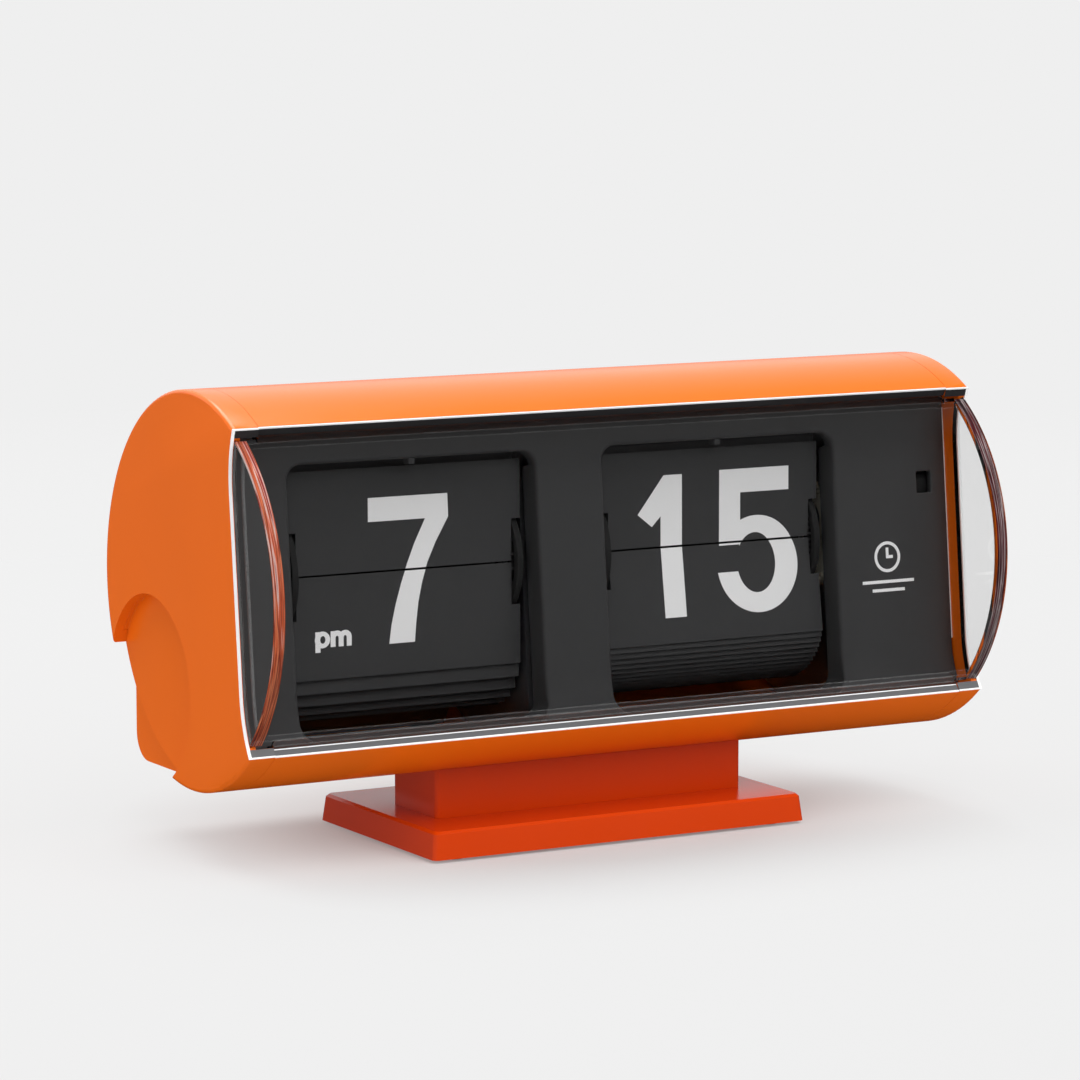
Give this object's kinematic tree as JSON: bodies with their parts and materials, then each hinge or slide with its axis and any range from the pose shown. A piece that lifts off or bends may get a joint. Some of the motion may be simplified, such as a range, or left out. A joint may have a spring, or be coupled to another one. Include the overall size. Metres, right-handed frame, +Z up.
{
  "type": "flip number clock",
  "caption": "Desk flip clock: round drum case on a pedestal, with hour and minute leaves behind a clear curved cover.",
  "frame": {"origin": "on the table, under the middle of the clock and of its base", "axes": "+X along the drum to the clock's right-hand end as seen from the front, -Y out of the display, +Z up"},
  "size_m": [0.213, 0.0951, 0.1175],
  "materials": {
    "case_plastic": "satin moulded ABS, orange",
    "lens_clear": "polished clear acrylic",
    "dial_plastic": "satin dark grey",
    "print_light": "printed light grey",
    "foot_rubber": "soft black",
    "screw_steel": "zinc plated",
    "plate_metal": "stamped",
    "drum_plastic": "black moulded",
    "leaf_film": "dark printed film",
    "gear_plastic": "natural acetal",
    "gear_brass": "cut brass",
    "movement_plastic": "black moulded",
    "indicator_print": "striped black and light grey",
    "knob_plastic": "satin moulded, orange",
    "contact_steel": "nickel plated"
  },
  "bodies": {
    "case": {"drum_case": "case_plastic", "left_end_cap": "case_plastic", "right_end_cap": "case_plastic", "left_bulkhead": "case_plastic", "right_bulkhead": "case_plastic", "lens": "lens_clear", "dial": "dial_plastic", "dial_mark": "print_light", "hour_finger": "dial_plastic", "minute_finger": "dial_plastic", "pedestal": "case_plastic", "base_plate": "case_plastic", "base_feet": "foot_rubber", "base_screws": "screw_steel", "case_screws": "screw_steel", "left_plate": "plate_metal", "hour_side_plate": "plate_metal", "minute_side_plate": "plate_metal", "drive_plate": "plate_metal", "tie_rods": "screw_steel", "hour_lower_leaves": "leaf_film", "hour_upper_leaves": "leaf_film", "minute_lower_leaves": "leaf_film", "minute_upper_leaves": "leaf_film", "movement_case": "movement_plastic", "battery_tray": "movement_plastic", "negative_contact": "contact_steel", "positive_contact": "contact_steel"},
    "hour_drum": {"hour_axle": "screw_steel", "hour_core": "drum_plastic", "hour_left_wheel": "drum_plastic", "hour_right_wheel": "drum_plastic", "hour_gear": "gear_plastic"},
    "minute_drum": {"minute_axle": "screw_steel", "minute_core": "drum_plastic", "minute_left_wheel": "drum_plastic", "minute_right_wheel": "drum_plastic", "minute_gear": "gear_plastic", "minute_pinion": "gear_brass"},
    "hour_leaf": {"hour_flap": "leaf_film"},
    "minute_leaf": {"minute_flap": "leaf_film"},
    "transfer": {"transfer_arbor": "screw_steel", "transfer_gear": "gear_plastic", "transfer_pinion": "gear_brass"},
    "drive_idler_body": {"drive_idler": "gear_plastic"},
    "drive_pinion_body": {"drive_pinion": "gear_brass"},
    "set_idler_body": {"set_idler": "gear_plastic"},
    "time_setting": {"set_gear": "gear_plastic", "set_shaft": "screw_steel", "set_knob": "knob_plastic"},
    "indicator": {"indicator_wheel": "indicator_print"},
    "bay_door": {"battery_door": "case_plastic"}
  },
  "joints": [
    {"name": "minute_spin", "type": "hinge", "parent": "case", "child": "minute_drum", "pos_m": [0, -0.00074, 0.07105], "axis": [1, 0, 0], "continuous": true},
    {"name": "hour_spin", "type": "hinge", "parent": "case", "child": "hour_drum", "pos_m": [0, -0.00074, 0.07105], "axis": [1, 0, 0], "continuous": true},
    {"name": "transfer_spin", "type": "hinge", "parent": "case", "child": "transfer", "pos_m": [0, 0.02026, 0.07105], "axis": [1, 0, 0], "continuous": true},
    {"name": "drive_idler_spin", "type": "hinge", "parent": "case", "child": "drive_idler_body", "pos_m": [0, 0.01126, 0.09183], "axis": [1, 0, 0], "continuous": true},
    {"name": "drive_pinion_spin", "type": "hinge", "parent": "case", "child": "drive_pinion_body", "pos_m": [0, 0.02165, 0.08583], "axis": [1, 0, 0], "continuous": true},
    {"name": "set_idler_spin", "type": "hinge", "parent": "case", "child": "set_idler_body", "pos_m": [0, 0.01184, 0.0524], "axis": [1, 0, 0], "continuous": true},
    {"name": "set_knob_spin", "type": "hinge", "parent": "case", "child": "time_setting", "pos_m": [0, 0.01883, 0.04203], "axis": [1, 0, 0], "continuous": true},
    {"name": "indicator_spin", "type": "hinge", "parent": "case", "child": "indicator", "pos_m": [0, -0.01194, 0.084], "axis": [1, 0, 0], "continuous": true},
    {"name": "minute_flip", "type": "hinge", "parent": "case", "child": "minute_leaf", "pos_m": [0, -0.01462, 0.07288], "axis": [1, 0, 0], "range_deg": [0, 165]},
    {"name": "hour_flip", "type": "hinge", "parent": "case", "child": "hour_leaf", "pos_m": [0, -0.01457, 0.07324], "axis": [1, 0, 0], "range_deg": [0, 168]},
    {"name": "battery_door_slide", "type": "slide", "parent": "case", "child": "bay_door", "axis": [0, 1, 0], "range_m": [0, 0.045]}
  ],
  "couplings": [
    {"joint": "hour_spin", "follows": "minute_spin", "ratio": 0.041667},
    {"joint": "transfer_spin", "follows": "minute_spin", "ratio": -0.16667},
    {"joint": "drive_idler_spin", "follows": "minute_spin", "ratio": -1.6667},
    {"joint": "drive_pinion_spin", "follows": "minute_spin", "ratio": 5},
    {"joint": "set_idler_spin", "follows": "minute_spin", "ratio": -2},
    {"joint": "set_knob_spin", "follows": "minute_spin", "ratio": 3},
    {"joint": "indicator_spin", "follows": "minute_spin", "ratio": 60}
  ]
}
